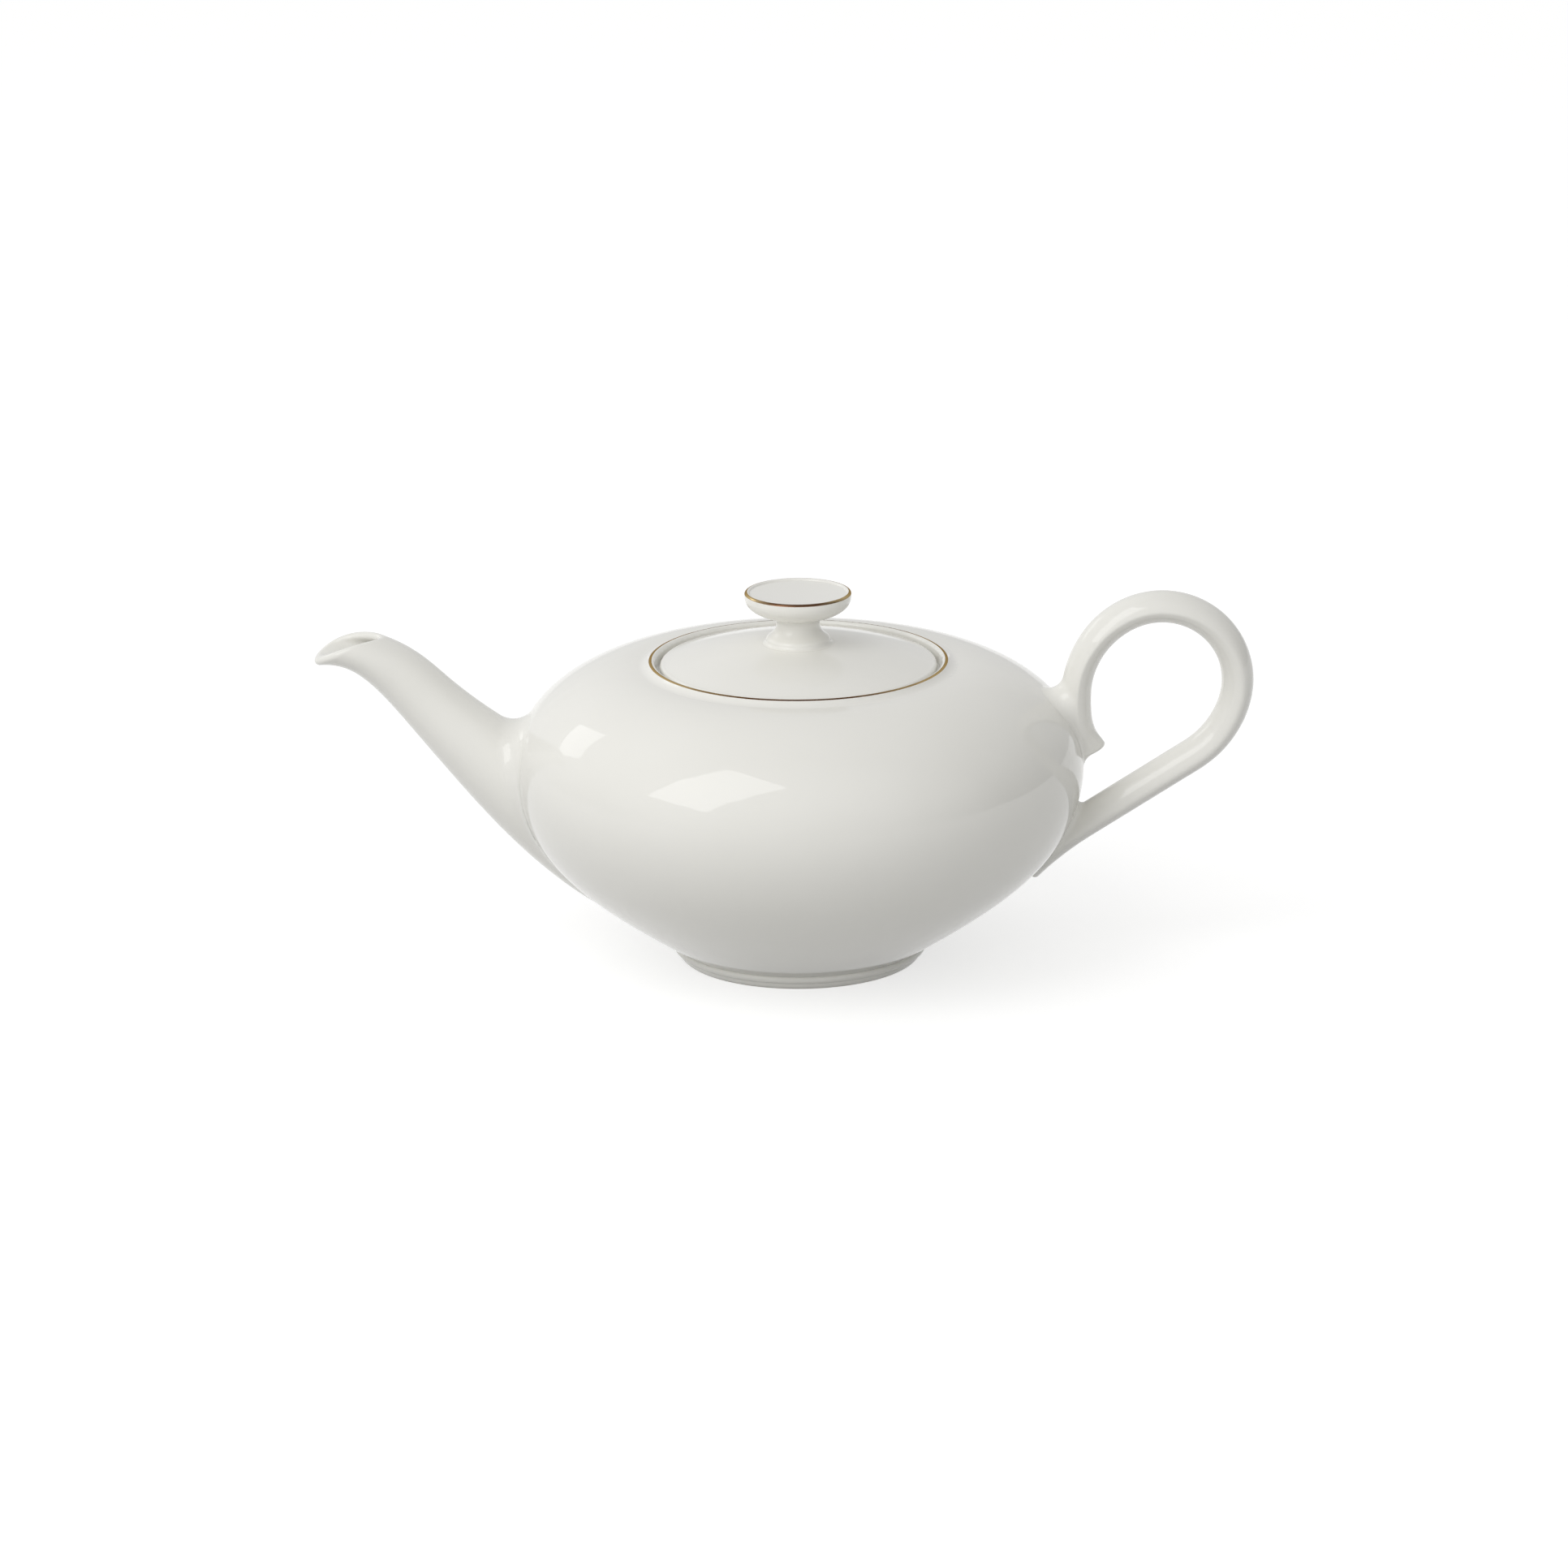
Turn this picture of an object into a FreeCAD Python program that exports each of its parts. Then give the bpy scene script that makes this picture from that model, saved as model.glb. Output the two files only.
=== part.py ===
"""Round porcelain teapot: bellied pot on a foot ring, hollow spout, looped handle, lift-off lid with a knob.

Millimetres. The origin is the centre of the foot on the table, +Z is up, the spout points to -X
and the handle to +X. Every piece of the pot is its own solid.
"""
import FreeCAD, Part
import math
import os

# Pot body, measured from the axis and from the table
BELLY_R = 79.0          # widest radius of the belly
SHOULDER_Z = 83.4       # height of the flat shoulder round the mouth
FOOT_H = 4.0            # height of the foot ring
FOOT_JOIN_R = 35.15     # radius where the belly leaves the foot ring
WALL = 3.5              # thickness of the potted wall
FLOOR_T = 4.2           # thickness of the floor

# Mouth of the pot: a small raised rim, a sloping gallery and a ledge that carries the lid
RIM_R = 40.67           # radius of the crest of the rim
RIM_ROUND = 1.1         # rounding of the crest
RIM_RISE = 1.5          # height of the crest above the shoulder
RIM_COVE = 4.0          # hollow curve between shoulder and rim
GALLERY_DEPTH = 3.4     # from the crest down to the ledge
GALLERY_LEAN = 0.4      # the gallery narrows by this much on its way down
LEDGE_W = 4.6           # width of the ledge
LEDGE_T = 2.6           # thickness of the ledge

# Foot ring
FOOT_STAND_R = 33.0     # outer radius of the standing face
FOOT_W = 3.6            # width of the foot ring
FOOT_BEAD_R = 35.3      # radius of the bead under the belly
FOOT_CREASE_Z = 1.9     # crease between bead and lower band

# Gold lines fired onto the mouth and the knob
GOLD_T = 0.3            # depth of the gold band in the glaze
MOUTH_GOLD_ARC = (54.0, 98.0)   # stretch of the mouth's rounded rim that is gilt, degrees from outside
KNOB_GOLD_ARC = (15.0, 90.0)   # the same on the knob's rounded rim

# Lid and knob
LID_GAP = 0.9           # radial play of the lid in the gallery
LID_EDGE_T = 2.4        # thickness of the lid at its edge
LID_EDGE_ROUND = 1.1    # rounding of that edge
LID_CROWN = 6.2         # rise of the dome above its edge
LID_T = 3.2             # thickness of the dome
LID_BOSS = 0.8          # raised seat of the knob on the dome
LID_BOSS_W = 1.3        # width of the hollow curve round that seat
FLANGE_DEPTH = 11.0     # locating flange below the ledge
FLANGE_T = 2.6          # thickness of the flange
FLANGE_GAP = 0.8        # radial play of the flange inside the ledge
KNOB_BASE_R = 8.9       # radius of the knob's foot
KNOB_BEAD = 0.55        # height over which that foot stands upright
KNOB_NECK_R = 6.1       # narrowest radius of the knob's stem
KNOB_TOP_R = 14.75      # widest radius of the knob's cap
KNOB_H = 13.68          # height of the knob above its seat
KNOB_ROUND = 0.75       # rounding of the cap's rim
KNOB_DISH = 1.05        # hollow of the knob's top

# Spout: station by station, from the belly's skin out past the lip
SPOUT_WALL = 2.5        # thickness of the spout wall
SPOUT_BLEND = 7.0       # soft blend where the spout grows out of the belly
LIP_ROUND = 1.15        # rounding of the pouring lip
SPOUT_ROOT_X = (0.50, 0.66)     # hidden first station, inside the wall: shares of the belly radius
SPOUT_ROOT_Z = (10.0, 50.0)     # and heights of its under and upper edge
SPOUT_ROOT_W = 16.5     # and its half width
SPOUT_STATIONS = [
    # (under edge, upper edge, half width); the edges are x beyond the belly radius and height
    ((-25.5, 13.6), (-16.0, 57.5), 17.0),
    ((-12.3, 22.5), (-6.0, 63.0), 16.0),
    ((4.0, 37.7), (5.6, 70.5), 13.2),
    ((18.7, 54.8), (14.0, 77.0), 10.6),
    ((30.1, 68.9), (22.0, 84.2), 8.9),
    ((39.9, 79.7), (31.4, 90.5), 8.5),
    ((47.0, 84.0), (42.0, 94.2), 8.6),
    ((59.0, 84.6), (59.0, 96.4), 8.6),
]
# Curve that cuts the mouth of the spout: beyond the tip, middle and behind the opening
SPOUT_MOUTH = [(57.8, 83.2), (48.7, 89.7), (33.0, 91.8)]

# Strainer: pierced wall between the pot and the spout
STRAINER_R = 12.5       # radius of the pierced patch
STRAINER_Z = 46.0       # height of its centre
STRAINER_HOLE_R = 2.5   # radius of one hole
STRAINER_RING_R = 7.7   # radius of the ring of holes
STRAINER_RING_N = 6     # holes in the ring, round one in the middle

# Handle: one strap that leaves the belly low down, loops over and comes back to the shoulder
HANDLE_W = 12.6         # width of the strap
HANDLE_OUT_T = 3.2      # thickness outside the ridge along the strap's sides, on the lower run
HANDLE_IN_T = 5.6       # thickness inside that ridge, towards the fingers
HANDLE_SHIFT = 1.5      # the ridge wanders inwards by this much over the top of the loop
HANDLE_SLIM = 0.5       # the strap gets slimmer outside by this much as it nears the shoulder
HANDLE_SPUR_T = 2.2     # the inner face kicks out by this much to make the spur
HANDLE_START = (-16.2, 24.7)    # lower end: x beyond the belly radius, height
HANDLE_FOOT_R = 94.0    # the strap leaves the belly in a wide bend
HANDLE_RUN = 35.6       # straight run
HANDLE_RISE_R = 27.5    # bend up into the loop
HANDLE_LOOP_R = 21.1    # the loop
HANDLE_BACK_R = 25.8    # bend back to the shoulder
HANDLE_SPUR_R = 50.5    # last bend, down along the belly
HANDLE_TURNS = (-12.5, 0.0, 41.6, 132.3, 61.2, 20.0)    # turn to the left in each stretch, degrees
HANDLE_HEADING = 45.0   # direction of the strap at its lower end, degrees above +X
HANDLE_END_ROUND = 0.8  # rounding of the strap's two ends
HANDLE_BLEND = 4.5      # soft blend where the strap comes back to the shoulder
HANDLE_FOOT_BLEND = 1.4 # and where it leaves the belly
HANDLE_MID_Z = 50.0     # height between the two roots

BLEND_SHARES = (1.0, 0.9, 1.1, 0.8, 0.7, 0.6)   # a blend that can't close is drawn a little tighter

Vec = FreeCAD.Vector
UP = Vec(0, 0, 1)


def point(r, z):
    return Vec(r, 0, z)


def line(a, b):
    return Part.makeLine(point(*a), point(*b))


def arc(a, mid, b):
    return Part.Arc(point(*a), point(*mid), point(*b)).toShape()


def curve(poles):
    """Clamped cubic curve over a few poles."""
    spline = Part.BSplineCurve()
    knots = list(range(len(poles) - 2))
    mults = [4] + [1] * (len(knots) - 2) + [4]
    spline.buildFromPolesMultsKnots([point(*p) for p in poles], mults, knots, False, 3)
    return spline.toShape()


def turned(edges):
    """Solid of revolution about the pot's axis."""
    face = Part.Face(Part.Wire(edges))
    face.rotate(Vec(0, 0, 0), UP, 90)
    return face.revolve(Vec(0, 0, 0), UP, 360)


def on_circle(centre, radius, degrees):
    a = math.radians(degrees)
    return (centre[0] + radius * math.cos(a), centre[1] + radius * math.sin(a))


def offset_poles(poles, distance):
    """Poles moved to the left of their own run, so that the new curve lies that far inside."""
    moved = []
    for i, (r, z) in enumerate(poles):
        normals = []
        for a, b in ((i - 1, i), (i, i + 1)):
            if a < 0 or b >= len(poles):
                continue
            dr = poles[b][0] - poles[a][0]
            dz = poles[b][1] - poles[a][1]
            size = math.hypot(dr, dz)
            normals.append((-dz / size, dr / size))
        nr = sum(n[0] for n in normals) / len(normals)
        nz = sum(n[1] for n in normals) / len(normals)
        reach = distance / (nr * nr + nz * nz)
        moved.append((r + nr * reach, z + nz * reach))
    return moved


# Pot body
RIM_Z = SHOULDER_Z + RIM_RISE
RIM_CENTRE = (RIM_R, RIM_Z - RIM_ROUND)
COVE_Z = SHOULDER_Z + RIM_COVE
COVE_DZ = COVE_Z - RIM_CENTRE[1]
COVE_R = RIM_R + math.sqrt((RIM_ROUND + RIM_COVE) ** 2 - COVE_DZ ** 2)
COVE_ANGLE = math.degrees(math.atan2(COVE_DZ, COVE_R - RIM_R))
BODY_H = SHOULDER_Z - FOOT_H
BODY_POLES = [
    (FOOT_JOIN_R, FOOT_H),
    (0.769 * BELLY_R, FOOT_H + 0.205 * BODY_H),
    (0.995 * BELLY_R, FOOT_H + 0.416 * BODY_H),
    (1.036 * BELLY_R, FOOT_H + 0.835 * BODY_H),
    (0.714 * BELLY_R, SHOULDER_Z),
    (COVE_R, SHOULDER_Z),
]
LEDGE_Z = RIM_Z - GALLERY_DEPTH
GALLERY_R = RIM_R - RIM_ROUND - GALLERY_LEAN
LEDGE_R = GALLERY_R - LEDGE_W
FLOOR_Z = FOOT_H + FLOOR_T


def body_outline():
    """Outer outline from the foot joint up to the top of the rim's outer side."""
    cove_end = on_circle(RIM_CENTRE, RIM_ROUND, COVE_ANGLE)
    cove_mid = on_circle((COVE_R, COVE_Z), RIM_COVE, (COVE_ANGLE - 180 - 90) / 2)
    return [curve(BODY_POLES), arc(BODY_POLES[-1], cove_mid, cove_end)]


def filled_body():
    """The pot without its hollow, used to shape what is joined to its outside."""
    cove_end = on_circle(RIM_CENTRE, RIM_ROUND, COVE_ANGLE)
    edges = body_outline()
    edges.append(line(cove_end, (0, cove_end[1])))
    edges.append(line((0, cove_end[1]), (0, FOOT_H)))
    edges.append(line((0, FOOT_H), BODY_POLES[0]))
    return turned(edges)


def gilt_band(centre, radius, stretch):
    """Ring of gold let into a rounded rim, over that stretch of the rounding."""
    low, high = stretch
    middle = (low + high) / 2
    inner = radius - GOLD_T
    edges = [
        arc(*[on_circle(centre, radius, a) for a in (low, middle, high)]),
        line(on_circle(centre, radius, high), on_circle(centre, inner, high)),
        arc(*[on_circle(centre, inner, a) for a in (high, middle, low)]),
        line(on_circle(centre, inner, low), on_circle(centre, radius, low)),
    ]
    return turned(edges)


def mouth_band():
    return gilt_band(RIM_CENTRE, RIM_ROUND, MOUTH_GOLD_ARC)


def strainer_bore():
    return Part.makeCylinder(STRAINER_R, BELLY_R * 2, Vec(0, 0, STRAINER_Z), Vec(-1, 0, 0))


def whole_wall():
    """The potted shell before the strainer opening and the gold groove are taken out."""
    cove_end = on_circle(RIM_CENTRE, RIM_ROUND, COVE_ANGLE)
    rim_in = on_circle(RIM_CENTRE, RIM_ROUND, 180)
    crest = on_circle(RIM_CENTRE, RIM_ROUND, 90)
    inside = offset_poles(BODY_POLES, WALL)
    inside[0] = (inside[0][0], FLOOR_Z)
    inside[-1] = (inside[-1][0] + LEDGE_T, inside[-1][1])
    ledge_under = (LEDGE_R, LEDGE_Z - LEDGE_T)
    edges = body_outline()
    edges.append(arc(cove_end, crest, rim_in))
    edges.append(line(rim_in, (GALLERY_R, LEDGE_Z)))
    edges.append(line((GALLERY_R, LEDGE_Z), (LEDGE_R, LEDGE_Z)))
    edges.append(line((LEDGE_R, LEDGE_Z), ledge_under))
    edges.append(line(ledge_under, inside[-1]))
    edges.append(curve(inside[::-1]))
    edges.append(line(inside[0], (0, FLOOR_Z)))
    edges.append(line((0, FLOOR_Z), (0, FOOT_H)))
    edges.append(line((0, FOOT_H), BODY_POLES[0]))
    return turned(edges)


def make_pot_body(wall):
    return wall.cut(strainer_bore()).cut(mouth_band())


def make_strainer(wall):
    """Patch of the wall behind the spout with its ring of holes."""
    half = Part.makeBox(BELLY_R * 2, BELLY_R * 4, SHOULDER_Z * 2, Vec(-BELLY_R * 2, -BELLY_R * 2, 0))
    patch = wall.common(strainer_bore()).common(half)
    places = [(0.0, STRAINER_Z)]
    for i in range(STRAINER_RING_N):
        places.append(on_circle((0.0, STRAINER_Z), STRAINER_RING_R, 360.0 * i / STRAINER_RING_N))
    for y, z in places:
        hole = Part.makeCylinder(STRAINER_HOLE_R, BELLY_R * 2, Vec(0, y, z), Vec(-1, 0, 0))
        patch = patch.cut(hole)
    return patch


def make_foot_ring():
    inner_r = FOOT_STAND_R - FOOT_W
    bead_z = (FOOT_CREASE_Z + FOOT_H) / 2
    crease = (FOOT_STAND_R + 0.9, FOOT_CREASE_Z)
    edges = [
        line((inner_r, 0), (FOOT_STAND_R, 0)),
        arc((FOOT_STAND_R, 0), (FOOT_STAND_R + 0.75, 0.8), crease),
        arc(crease, (FOOT_BEAD_R, bead_z), (FOOT_JOIN_R - 0.4, FOOT_H)),
        line((FOOT_JOIN_R - 0.4, FOOT_H), (inner_r - 1.2, FOOT_H)),
        line((inner_r - 1.2, FOOT_H), (inner_r, 0)),
    ]
    return turned(edges)


# Lid and knob
LID_R = GALLERY_R - LID_GAP
LID_SEAT_Z = LEDGE_Z
LID_EDGE_Z = LID_SEAT_Z + LID_EDGE_T
LID_TOP_Z = LID_EDGE_Z + LID_CROWN
FLANGE_R = LEDGE_R - FLANGE_GAP


def bowl_radius(reach, rise):
    """Radius of the sphere that rises that much from the axis out to that reach."""
    return (reach * reach + rise * rise) / (2 * rise)


DOME_R = bowl_radius(LID_R, LID_CROWN)
DOME_Z = LID_TOP_Z - DOME_R


def dome(r, inset=0.0):
    """Point of the dome at that radius, on the surface that many millimetres inside."""
    return (r, DOME_Z + math.sqrt((DOME_R - inset) ** 2 - r * r))


KNOB_Z = dome(KNOB_BASE_R)[1] + LID_BOSS
KNOB_RIM = (KNOB_TOP_R - KNOB_ROUND, KNOB_Z + KNOB_H - KNOB_ROUND)


def make_lid():
    """Dome with a rounded edge, a seat on the ledge, a locating flange and a soft seat for the knob."""
    flange_in = FLANGE_R - FLANGE_T
    flange_z = LID_SEAT_Z - FLANGE_DEPTH
    seat = (KNOB_BASE_R, KNOB_Z)
    foot = dome(KNOB_BASE_R + LID_BOSS_W)
    hollow = (foot[0] - 0.71 * LID_BOSS_W, foot[1] + 0.29 * (KNOB_Z - foot[1]))
    lip = dome(LID_R - LID_EDGE_ROUND)
    edge_z = lip[1] - LID_EDGE_ROUND
    bevel = 0.2 * LID_EDGE_T
    under = (0, DOME_Z + DOME_R - LID_T)
    edges = [
        line((0, KNOB_Z), seat),
        arc(seat, hollow, foot),
        arc(foot, dome(0.6 * LID_R), lip),
        arc(lip, on_circle((lip[0], edge_z), LID_EDGE_ROUND, 40), (LID_R, edge_z)),
        line((LID_R, edge_z), (LID_R, LID_SEAT_Z + bevel)),
        line((LID_R, LID_SEAT_Z + bevel), (LID_R - bevel, LID_SEAT_Z)),
        line((LID_R - bevel, LID_SEAT_Z), (FLANGE_R, LID_SEAT_Z)),
        line((FLANGE_R, LID_SEAT_Z), (FLANGE_R - 0.2 * FLANGE_T, flange_z)),
        line((FLANGE_R - 0.2 * FLANGE_T, flange_z), (flange_in, flange_z)),
        line((flange_in, flange_z), dome(flange_in, LID_T)),
        arc(dome(flange_in, LID_T), dome(0.5 * flange_in, LID_T), under),
        line(under, (0, KNOB_Z)),
    ]
    return turned(edges)


def whole_knob():
    """Upright foot, waisted stem and a dished cap that opens like a mushroom."""
    r = KNOB_TOP_R
    neck = KNOB_NECK_R
    stem = [
        (KNOB_BASE_R, KNOB_Z),
        (KNOB_BASE_R, KNOB_Z + KNOB_BEAD),
        (0.94 * KNOB_BASE_R, KNOB_Z + 2 * KNOB_BEAD),
        (1.20 * neck, KNOB_Z + 0.128 * KNOB_H),
        (1.05 * neck, KNOB_Z + 0.212 * KNOB_H),
        (0.985 * neck, KNOB_Z + 0.307 * KNOB_H),
        (0.975 * neck, KNOB_Z + 0.387 * KNOB_H),
        (1.00 * neck, KNOB_Z + 0.450 * KNOB_H),
        (0.488 * r, KNOB_Z + 0.479 * KNOB_H),
        (0.664 * r, KNOB_Z + 0.526 * KNOB_H),
        (0.875 * r, KNOB_Z + 0.636 * KNOB_H),
        (0.99 * r, KNOB_Z + 0.775 * KNOB_H),
        (r, KNOB_Z + 0.870 * KNOB_H),
        (r, KNOB_RIM[1]),
    ]
    rim_in = on_circle(KNOB_RIM, KNOB_ROUND, 160)
    floor = (0, KNOB_Z + KNOB_H - KNOB_DISH)
    dish_r = bowl_radius(rim_in[0], rim_in[1] - floor[1])
    sag = on_circle((0, floor[1] + dish_r), dish_r, -90 + math.degrees(0.5 * rim_in[0] / dish_r))
    edges = [
        line((0, KNOB_Z), stem[0]),
        curve(stem),
        arc(stem[-1], on_circle(KNOB_RIM, KNOB_ROUND, 80), rim_in),
        arc(rim_in, sag, floor),
        line(floor, (0, KNOB_Z)),
    ]
    return turned(edges)


def knob_band():
    return gilt_band(KNOB_RIM, KNOB_ROUND, KNOB_GOLD_ARC)


# Spout
def station(under, upper, half_width, inset):
    """Oval section between two edge points, drawn in by the inset."""
    low = Vec(-BELLY_R - under[0], 0, under[1])
    high = Vec(-BELLY_R - upper[0], 0, upper[1])
    centre = (low + high) * 0.5
    half = (high - low) * 0.5
    half = half * (1.0 - inset / half.Length)
    side = Vec(0, half_width - inset, 0)
    ring = []
    for i in range(16):
        a = 2 * math.pi * i / 16
        ring.append(centre + half * math.cos(a) + side * math.sin(a))
    oval = Part.BSplineCurve()
    oval.interpolate(Points=ring, PeriodicFlag=True)
    return Part.Wire(oval.toShape())


def spout_tube(inset):
    edges = [((x - 1) * BELLY_R, z) for x, z in zip(SPOUT_ROOT_X, SPOUT_ROOT_Z)]
    stations = [(edges[0], edges[1], SPOUT_ROOT_W)] + SPOUT_STATIONS
    return Part.makeLoft([station(*s, inset) for s in stations], True, False)


def mouth_cutter():
    """Everything beyond the curved cut of the pouring mouth."""
    tip, mid, back = [(-BELLY_R - x, z) for x, z in SPOUT_MOUTH]
    far = tip[0] - BELLY_R
    high = back[1] + BELLY_R
    low = tip[1] - 0.3 * BELLY_R
    edges = [
        arc(tip, mid, back),
        line(back, (back[0], high)),
        line((back[0], high), (far, high)),
        line((far, high), (far, low)),
        line((far, low), (tip[0], low)),
        line((tip[0], low), tip),
    ]
    face = Part.Face(Part.Wire(edges))
    face.translate(Vec(0, -BELLY_R, 0))
    return face.extrude(Vec(0, 2 * BELLY_R, 0))


def joint_edges(joined, body):
    """Edges of the joined shape that run along the body's skin where another piece grows out of it."""
    own = [e.CenterOfMass for e in body.Edges]
    found = []
    for edge in joined.Edges:
        first, last = edge.ParameterRange
        samples = [edge.valueAt(first + (last - first) * k / 4.0) for k in range(5)]
        if any(body.distToShape(Part.Vertex(p))[0] > 1e-3 for p in samples):
            continue
        if any((edge.CenterOfMass - c).Length < 1e-3 for c in own):
            continue
        found.append(edge)
    return found


def blended(joined, body, low, high, blend):
    """The joined shape with a soft blend on its roots between two heights."""
    edges = [e for e in joint_edges(joined, body) if low <= e.CenterOfMass.z < high]
    for share in BLEND_SHARES:
        try:
            soft = joined.makeFillet(share * blend, edges)
        except Part.OCCError:
            continue
        if soft.isValid():
            return soft
    raise ValueError("no blend fits this root")


def grown_from(body, piece, roots):
    """The piece as it stands on the body's skin; each root is its two heights and its blend."""
    joined = body.fuse(piece)
    for low, high, blend in roots:
        joined = blended(joined, body, low, high, blend)
    return joined.cut(body).Solids[0]


def lip_edges(spout):
    """Both edges of the curved cut round the pouring mouth."""
    tip = Vec(-BELLY_R - SPOUT_MOUTH[1][0], 0, SPOUT_MOUTH[1][1])
    cuts = [f for f in spout.Faces if isinstance(f.Surface, Part.Cylinder)]
    cuts = [f for f in cuts if abs(f.Surface.Axis.y) > 0.999]
    cut = min(cuts, key=lambda f: (f.CenterOfMass - tip).Length)
    return cut.Edges


def make_spout(body):
    """Hollow tube grown out of the belly, with a rounded pouring lip."""
    outer = grown_from(body, spout_tube(0.0), [(0, SHOULDER_Z, SPOUT_BLEND)])
    tube = outer.cut(spout_tube(SPOUT_WALL)).cut(mouth_cutter())
    solid = max(tube.Solids, key=lambda s: s.Volume)
    return solid.makeFillet(LIP_ROUND, lip_edges(solid)).Solids[0]


# Handle
def handle_stretches():
    """Length and turn of each stretch of the strap's middle line."""
    stretches = []
    radii = (HANDLE_FOOT_R, 0.0, HANDLE_RISE_R, HANDLE_LOOP_R, HANDLE_BACK_R, HANDLE_SPUR_R)
    for radius, turn in zip(radii, HANDLE_TURNS):
        angle = math.radians(turn)
        stretches.append((abs(radius * angle) or HANDLE_RUN, angle))
    return stretches


def handle_length():
    return sum(length for length, angle in handle_stretches())


def handle_at(distance):
    """Point on the middle line and its heading, that far from the lower end."""
    x = BELLY_R + HANDLE_START[0]
    z = HANDLE_START[1]
    heading = math.radians(HANDLE_HEADING)
    for length, angle in handle_stretches():
        part = min(max(distance, 0.0), length)
        turn = angle * part / length
        chord = part if turn == 0 else 2 * part / turn * math.sin(turn / 2)
        x += chord * math.cos(heading + turn / 2)
        z += chord * math.sin(heading + turn / 2)
        heading += turn
        distance -= length
    return Vec(x, 0, z), heading


def ease(value, start, end):
    """Smooth step from 0 at the start to 1 at the end."""
    t = min(max((value - start) / (end - start), 0.0), 1.0)
    return t * t * (3 - 2 * t)


def strap_section(share):
    """Oval section at that share of the strap's length, with a soft ridge on each side."""
    middle, heading = handle_at(share * handle_length())
    inward = Vec(-math.sin(heading), 0, math.cos(heading))
    over = ease(share, 0.45, 0.65)
    outer = HANDLE_OUT_T + HANDLE_SHIFT * over
    inner = HANDLE_IN_T - HANDLE_SHIFT * over
    ridge = middle + inward * ((outer - inner) / 2)
    outer -= HANDLE_SLIM * ease(share, 0.75, 0.85)
    inner += HANDLE_SPUR_T * ease(share, 0.955, 1.0)
    crisp = 1.15 + 0.3 * over
    ring = []
    for i in range(24):
        a = 2 * math.pi * i / 24
        c = math.cos(a)
        depth = math.copysign(abs(c) ** crisp, c) * (inner if c > 0 else outer)
        ring.append(ridge + inward * depth + Vec(0, 0.5 * HANDLE_W * math.sin(a), 0))
    oval = Part.BSplineCurve()
    oval.interpolate(Points=ring, PeriodicFlag=True)
    return Part.Wire(oval.toShape())


def strap():
    count = 36
    return Part.makeLoft([strap_section(i / count) for i in range(count + 1)], True, False)


def make_handle(body):
    solid = strap()
    ends = [f for f in solid.Faces if isinstance(f.Surface, Part.Plane)]
    edges = [e for f in ends for e in f.Edges]
    solid = solid.makeFillet(HANDLE_END_ROUND, edges)
    roots = [(HANDLE_MID_Z, SHOULDER_Z, HANDLE_BLEND), (0, HANDLE_MID_Z, HANDLE_FOOT_BLEND)]
    return grown_from(body, solid, roots)


def main():
    body = filled_body()
    wall = whole_wall()
    knob = whole_knob()
    pieces = {
        "pot_body": make_pot_body(wall),
        "foot_ring": make_foot_ring(),
        "spout": make_spout(body),
        "strainer": make_strainer(wall),
        "handle": make_handle(body),
        "mouth_gold_line": mouth_band(),
        "lid": make_lid(),
        "knob": knob.cut(knob_band()),
        "knob_gold_line": knob_band(),
    }
    os.makedirs("parts", exist_ok=True)
    for name, piece in pieces.items():
        solid = piece.Solids[0]
        assert len(piece.Solids) == 1 and solid.isValid(), name
        solid.exportStep("parts/" + name + ".step")


main()
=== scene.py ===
import math
import bpy
from mathutils import Matrix, Vector
from mathutils.bvhtree import BVHTree
from mathutils.interpolate import poly_3d_calc


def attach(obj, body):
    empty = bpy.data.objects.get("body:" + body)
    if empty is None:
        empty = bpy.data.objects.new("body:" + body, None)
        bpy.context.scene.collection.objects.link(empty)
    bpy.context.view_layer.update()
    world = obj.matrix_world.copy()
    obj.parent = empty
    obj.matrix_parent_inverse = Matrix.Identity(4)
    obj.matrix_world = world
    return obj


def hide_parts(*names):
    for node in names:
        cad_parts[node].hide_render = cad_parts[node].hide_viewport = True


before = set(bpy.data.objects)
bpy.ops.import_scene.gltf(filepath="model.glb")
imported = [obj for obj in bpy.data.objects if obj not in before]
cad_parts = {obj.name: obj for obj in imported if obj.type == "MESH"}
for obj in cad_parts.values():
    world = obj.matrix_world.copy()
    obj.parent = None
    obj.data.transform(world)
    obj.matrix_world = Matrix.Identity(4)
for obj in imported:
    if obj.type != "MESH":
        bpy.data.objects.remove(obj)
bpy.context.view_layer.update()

# Camera: fitted to the photograph
CAMERA_AIM = Vector((-0.0042, 0.0, 0.0489))
CAMERA_DISTANCE = 2.0
CAMERA_ELEVATION = 16.74     # degrees above the table
CAMERA_ROLL = 0.42           # degrees, the picture's right side sits a little high
CAMERA_LENS = 165.6          # millimetres on a 36 mm sensor

# Light: a soft box high on the left, the wash of light round it, a faint box behind, and the room
POT_CENTRE = Vector((0.0, 0.0, 0.06))
KEY_DIRECTION = Vector((-0.492, -0.506, 0.707))
KEY_LONG_SIDE = Vector((0.683, 0.280, 0.675))
KEY_DISTANCE = 1.0
KEY_SIZE = (0.82, 0.505)
KEY_POWER = 2.4
WASH_SIZE = (1.1, 0.9)
WASH_POWER = 0.75
RIM_DIRECTION = Vector((-0.700, 0.510, 0.480))
RIM_LONG_SIDE = Vector((0.708, 0.422, 0.564))
RIM_DISTANCE = 1.2
RIM_SIZE = (0.42, 0.28)
RIM_POWER = 0.42
ROOM_LEVEL = 0.18            # the room, even all round
ROOM_LEFT = 0.46             # and what is added towards the spout's side,
ROOM_FRONT = 0.80            # towards the front
ROOM_BACK = 0.55             # and the back,
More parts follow.
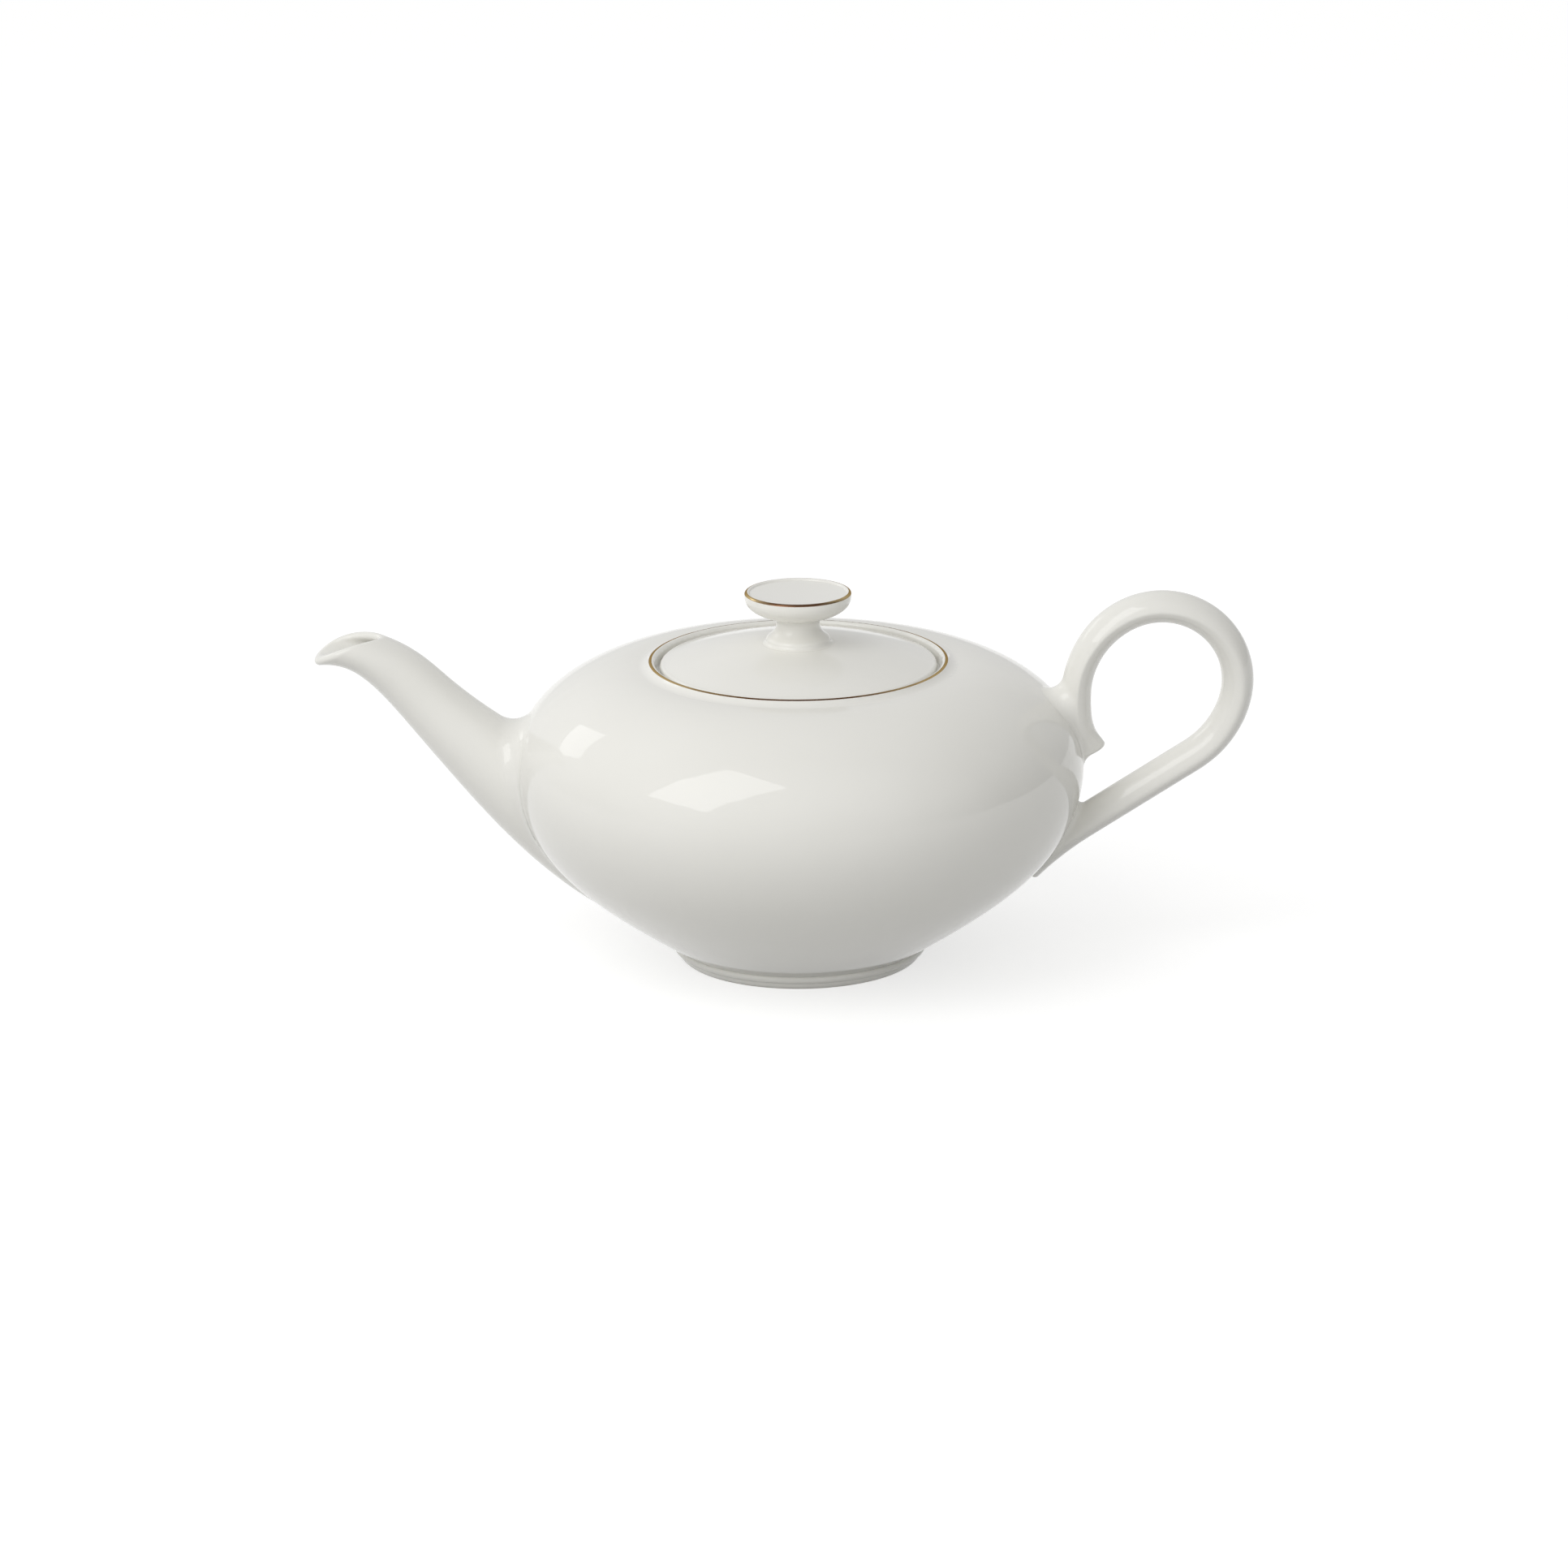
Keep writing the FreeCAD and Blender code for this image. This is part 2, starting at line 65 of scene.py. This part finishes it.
ROOM_TOP = 0.12              # and overhead
FLOOR_SIZE = 9.0
FLOOR_LIFT = 0.64            # white of the studio floor beyond what its light gives it

# Glaze, gold and floor: colours
GLAZE_CLOUDS = (0.843, 0.833, 0.785), (0.868, 0.858, 0.812)
BISCUIT = (0.70, 0.67, 0.60, 1)
BISCUIT_TOP = 0.0003         # the standing face is bare up to this height
GOLD_MOTTLE_AND_PAINTED_REFLECTION = (0.17, 0.09, 0.05), (0.66, 0.52, 0.29)   # dark and light ends: painted reflection, darker at front and back and lighter at the sides, plus random unevenness
GOLD_EDGE = (0.40, 0.32, 0.24, 1)                    # seen at a flat angle
FLOOR_COLOUR = (0.54, 0.54, 0.535, 1)

# Glaze where the spout and the handle grow out of the belly
SINK = 0.00004               # the feather edge of a root goes this far below the belly's skin
SINK_HEIGHTS = (0.00005, 0.00018)   # in full below the first height, none above the second
MERGE_HEIGHT = 0.0002        # up to this height its shading leans towards the belly's,
MERGE_TURN = 0.5             # and least where it turns away from the belly: cosine of that angle


def new_material(name):
    material = bpy.data.materials.new(name)
    material.use_nodes = True
    return material, material.node_tree.nodes, material.node_tree.links


def math_node(nodes, links, operation, *values):
    """Math node fed by sockets or plain numbers; returns its output."""
    node = nodes.new("ShaderNodeMath")
    node.operation = operation
    for place, value in zip(node.inputs, values):
        if isinstance(value, (int, float)):
            place.default_value = value
        else:
            links.new(value, place)
    return node.outputs["Value"]


def two_tones(nodes, links, value, low, high, ends=(0.3, 0.7)):
    """Colour between two tones, ruled by a value."""
    ramp = nodes.new("ShaderNodeValToRGB")
    for element, place, tone in zip(ramp.color_ramp.elements, ends, (low, high)):
        element.position = place
        element.color = (*tone, 1)
    links.new(value, ramp.inputs["Fac"])
    return ramp.outputs["Color"]


def noise(nodes, links, place, scale, detail=3.0):
    cloud = nodes.new("ShaderNodeTexNoise")
    cloud.inputs["Scale"].default_value = scale
    cloud.inputs["Detail"].default_value = detail
    links.new(place, cloud.inputs["Vector"])
    return cloud.outputs["Fac"]


def porcelain():
    """Warm white glaze, faintly clouded and a touch uneven; the standing face is bare biscuit."""
    material, nodes, links = new_material("porcelain_glaze")
    shader = nodes["Principled BSDF"]
    shader.inputs["IOR"].default_value = 1.5
    place = nodes.new("ShaderNodeTexCoord").outputs["Object"]
    split = nodes.new("ShaderNodeSeparateXYZ")
    links.new(place, split.inputs["Vector"])
    white = two_tones(nodes, links, noise(nodes, links, place, 18.0), *GLAZE_CLOUDS)
    bare = math_node(nodes, links, "LESS_THAN", split.outputs["Z"], BISCUIT_TOP)
    tint = nodes.new("ShaderNodeMix")
    tint.data_type = "RGBA"
    tint.inputs["B"].default_value = BISCUIT
    links.new(bare, tint.inputs["Factor"])
    links.new(white, tint.inputs["A"])
    links.new(tint.outputs["Result"], shader.inputs["Base Color"])
    gloss = math_node(nodes, links, "MULTIPLY_ADD", noise(nodes, links, place, 45.0), 0.03, 0.005)
    rough = math_node(nodes, links, "MULTIPLY_ADD", bare, 0.6, gloss)
    links.new(rough, shader.inputs["Roughness"])
    return material


def gold():
    """Fired gold line, toned unevenly at random, with painted reflection: darker brown at front and back,
    lighter at the sides.
    """
    material, nodes, links = new_material("fired_gold")
    shader = nodes["Principled BSDF"]
    shader.inputs["Metallic"].default_value = 1.0
    place = nodes.new("ShaderNodeTexCoord").outputs["Object"]
    split = nodes.new("ShaderNodeSeparateXYZ")
    links.new(place, split.inputs["Vector"])
    # painted reflection: the gold's colour darkens towards front and back and lightens towards the sides, by
    # its place round the pot
    x2 = math_node(nodes, links, "MULTIPLY", split.outputs["X"], split.outputs["X"])
    y2 = math_node(nodes, links, "MULTIPLY", split.outputs["Y"], split.outputs["Y"])
    side = math_node(nodes, links, "DIVIDE", x2, math_node(nodes, links, "ADD", x2, y2))
    mottle_and_painted_reflection = math_node(nodes, links, "MULTIPLY_ADD", noise(nodes, links, place, 120.0), 0.5, side)
    tone = two_tones(nodes, links, mottle_and_painted_reflection, *GOLD_MOTTLE_AND_PAINTED_REFLECTION, ends=(0.35, 1.0))
    links.new(tone, shader.inputs["Base Color"])
    shader.inputs["Specular Tint"].default_value = GOLD_EDGE
    gloss = math_node(nodes, links, "MULTIPLY_ADD", noise(nodes, links, place, 300.0), 0.15, 0.12)
    links.new(gloss, shader.inputs["Roughness"])
    return material


def white_floor():
    """White studio floor that still takes the pot's shadow."""
    material, nodes, links = new_material("white_sweep")
    shader = nodes["Principled BSDF"]
    shader.inputs["Base Color"].default_value = FLOOR_COLOUR
    shader.inputs["Roughness"].default_value = 0.9
    shader.inputs["Specular IOR Level"].default_value = 0.0
    shader.inputs["Emission Color"].default_value = (1, 1, 1, 1)
    path = nodes.new("ShaderNodeLightPath").outputs
    seen = math_node(nodes, links, "MAXIMUM", path["Is Camera Ray"], path["Is Glossy Ray"])
    seen = math_node(nodes, links, "MAXIMUM", seen, path["Is Transmission Ray"])
    lift = math_node(nodes, links, "MULTIPLY", seen, FLOOR_LIFT)
    links.new(lift, shader.inputs["Emission Strength"])
    return material


def smooth_step(value, low, high):
    t = min(max((value - low) / (high - low), 0.0), 1.0)
    return t * t * (3 - 2 * t)


def skin_normal(mesh, face, point):
    """Smooth normal of the mesh at a point of that face."""
    polygon = mesh.polygons[face]
    weights = poly_3d_calc([mesh.vertices[i].co for i in polygon.vertices], point)
    normal = Vector()
    for corner, weight in zip(polygon.loop_indices, weights):
        normal += mesh.corner_normals[corner].vector * weight
    return normal.normalized()


def grown_root(name, glaze):
    """The CAD piece with its feather edges let into the belly, so that the glaze runs on over the joint."""
    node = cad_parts[name]
    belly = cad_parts["pot_body"].data
    tree = BVHTree.FromPolygons([v.co for v in belly.vertices], [p.vertices for p in belly.polygons])
    mesh = node.data.copy()
    near = {}
    for vertex in mesh.vertices:
        place, _, face, height = tree.find_nearest(vertex.co, MERGE_HEIGHT)
        if place is not None:
            near[vertex.index] = (skin_normal(belly, face, place), height)
    normals = [corner.vector.copy() for corner in mesh.corner_normals]
    for loop in mesh.loops:
        if loop.vertex_index in near:
            skin, height = near[loop.vertex_index]
            own = normals[loop.index]
            lean = (1 - smooth_step(height, 0.0, MERGE_HEIGHT)) * smooth_step(skin.dot(own), 0.0, MERGE_TURN)
            normals[loop.index] = own.lerp(skin, lean).normalized()
    for index, (skin, height) in near.items():
        mesh.vertices[index].co -= skin * SINK * (1 - smooth_step(height, *SINK_HEIGHTS))
    mesh.normals_split_custom_set(normals)
    mesh.materials.clear()
    mesh.materials.append(glaze)
    piece = bpy.data.objects.new(name + "_glazed", mesh)
    piece.matrix_world = node.matrix_world.copy()
    bpy.context.scene.collection.objects.link(piece)
    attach(piece, "pot")
    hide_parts(name)


def add_camera():
    data = bpy.data.cameras.new("camera")
    data.lens = CAMERA_LENS
    data.sensor_width = 36.0
    camera = bpy.data.objects.new("camera", data)
    bpy.context.scene.collection.objects.link(camera)
    tilt = math.radians(CAMERA_ELEVATION)
    away = Vector((0.0, -math.cos(tilt), math.sin(tilt)))
    turn = Matrix.Rotation(math.radians(90 - CAMERA_ELEVATION), 4, "X")
    roll = Matrix.Rotation(math.radians(-CAMERA_ROLL), 4, "Z")
    camera.matrix_world = Matrix.Translation(CAMERA_AIM + away * CAMERA_DISTANCE) @ turn @ roll
    bpy.context.scene.camera = camera


def soft_box(name, direction, long_side, distance, size, power):
    data = bpy.data.lights.new(name, "AREA")
    data.shape = "RECTANGLE"
    data.size, data.size_y = size
    data.energy = power
    lamp = bpy.data.objects.new(name, data)
    bpy.context.scene.collection.objects.link(lamp)
    back = direction.normalized()
    across = back.cross(long_side).normalized()
    along = across.cross(back)
    turn = Matrix((along, across, back)).transposed().to_4x4()
    lamp.matrix_world = Matrix.Translation(POT_CENTRE + back * distance) @ turn
    return lamp


def room():
    """Even room light, with more of it from the left, the front, the back and overhead."""
    world = bpy.data.worlds.new("room")
    bpy.context.scene.world = world
    world.use_nodes = True
    nodes, links = world.node_tree.nodes, world.node_tree.links
    nodes["Background"].inputs["Color"].default_value = (1, 1, 1, 1)
    split = nodes.new("ShaderNodeSeparateXYZ")
    links.new(nodes.new("ShaderNodeTexCoord").outputs["Generated"], split.inputs["Vector"])
    level = ROOM_LEVEL
    for axis, sign, share in (
        ("X", -1.0, ROOM_LEFT), ("Y", -1.0, ROOM_FRONT), ("Y", 1.0, ROOM_BACK), ("Z", 1.0, ROOM_TOP)
    ):
        side = math_node(nodes, links, "MULTIPLY", split.outputs[axis], sign)
        side = math_node(nodes, links, "MAXIMUM", side, 0.0)
        level = math_node(nodes, links, "MULTIPLY_ADD", side, share, level)
    links.new(level, nodes["Background"].inputs["Strength"])


def add_floor():
    half = FLOOR_SIZE / 2
    corners = [(-half, -half, 0), (half, -half, 0), (half, half, 0), (-half, half, 0)]
    mesh = bpy.data.meshes.new("floor")
    mesh.from_pydata(corners, [], [(0, 1, 2, 3)])
    mesh.materials.append(white_floor())
    floor = bpy.data.objects.new("floor", mesh)
    bpy.context.scene.collection.objects.link(floor)


GLAZE = porcelain()
GOLD = gold()
for name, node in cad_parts.items():
    node.data.materials.clear()
    node.data.materials.append(GOLD if "gold" in name else GLAZE)
grown_root("spout", GLAZE)
grown_root("handle", GLAZE)
add_floor()
add_camera()
soft_box("key", KEY_DIRECTION, KEY_LONG_SIDE, KEY_DISTANCE, KEY_SIZE, KEY_POWER)
wash = soft_box("wash", KEY_DIRECTION, KEY_LONG_SIDE, KEY_DISTANCE, WASH_SIZE, WASH_POWER)
wash.visible_glossy = False
soft_box("rim", RIM_DIRECTION, RIM_LONG_SIDE, RIM_DISTANCE, RIM_SIZE, RIM_POWER)
room()
bpy.context.scene.view_settings.view_transform = "Standard"
